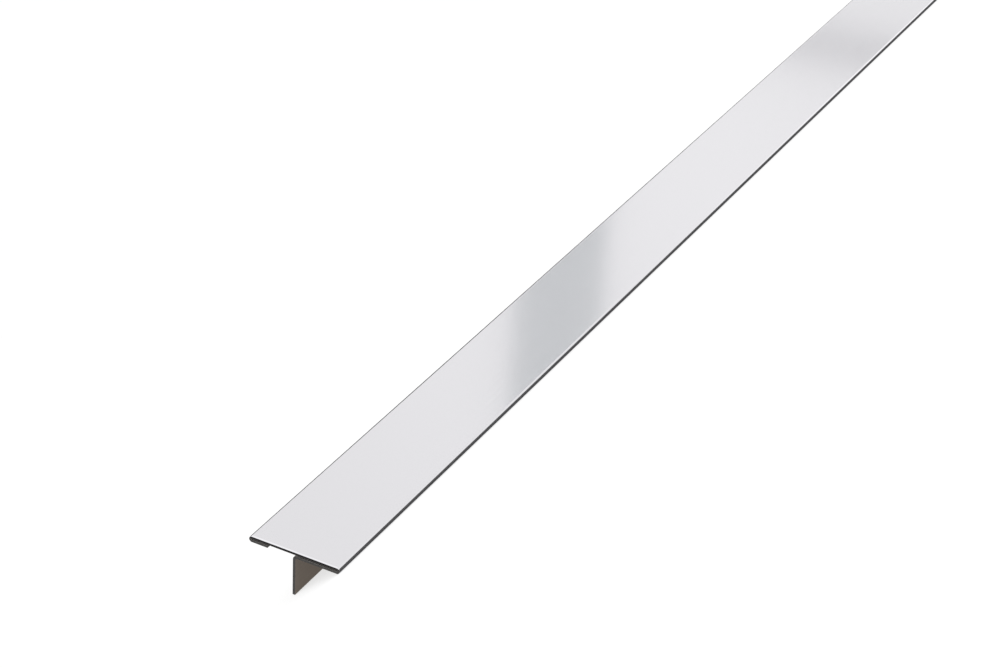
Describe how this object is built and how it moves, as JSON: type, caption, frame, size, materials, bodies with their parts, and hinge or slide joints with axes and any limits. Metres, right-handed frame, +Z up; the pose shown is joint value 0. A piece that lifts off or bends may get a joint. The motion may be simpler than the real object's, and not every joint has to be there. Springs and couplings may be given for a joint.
{
  "type": "stainless steel t-profile trim",
  "caption": "Folded stainless steel T-section trim bar that covers the joint between two floor or wall coverings, with its web standing in the joint.",
  "frame": {"origin": "on the floor under the middle of the bar, at the bottom centre of its box", "axes": "+Y along the bar, from the end that the picture shows to the far end; +Z up; +X towards the edge that lies on the floor. The bar leans 42.4 degrees about Y, as it comes to rest."},
  "size_m": [0.0188, 1, 0.0174],
  "materials": {
    "stainless_strip": "satin face, mill finish on the back, sheared ends"
  },
  "bodies": {
    "root": {"t_profile": "stainless_strip"}
  },
  "joints": []
}
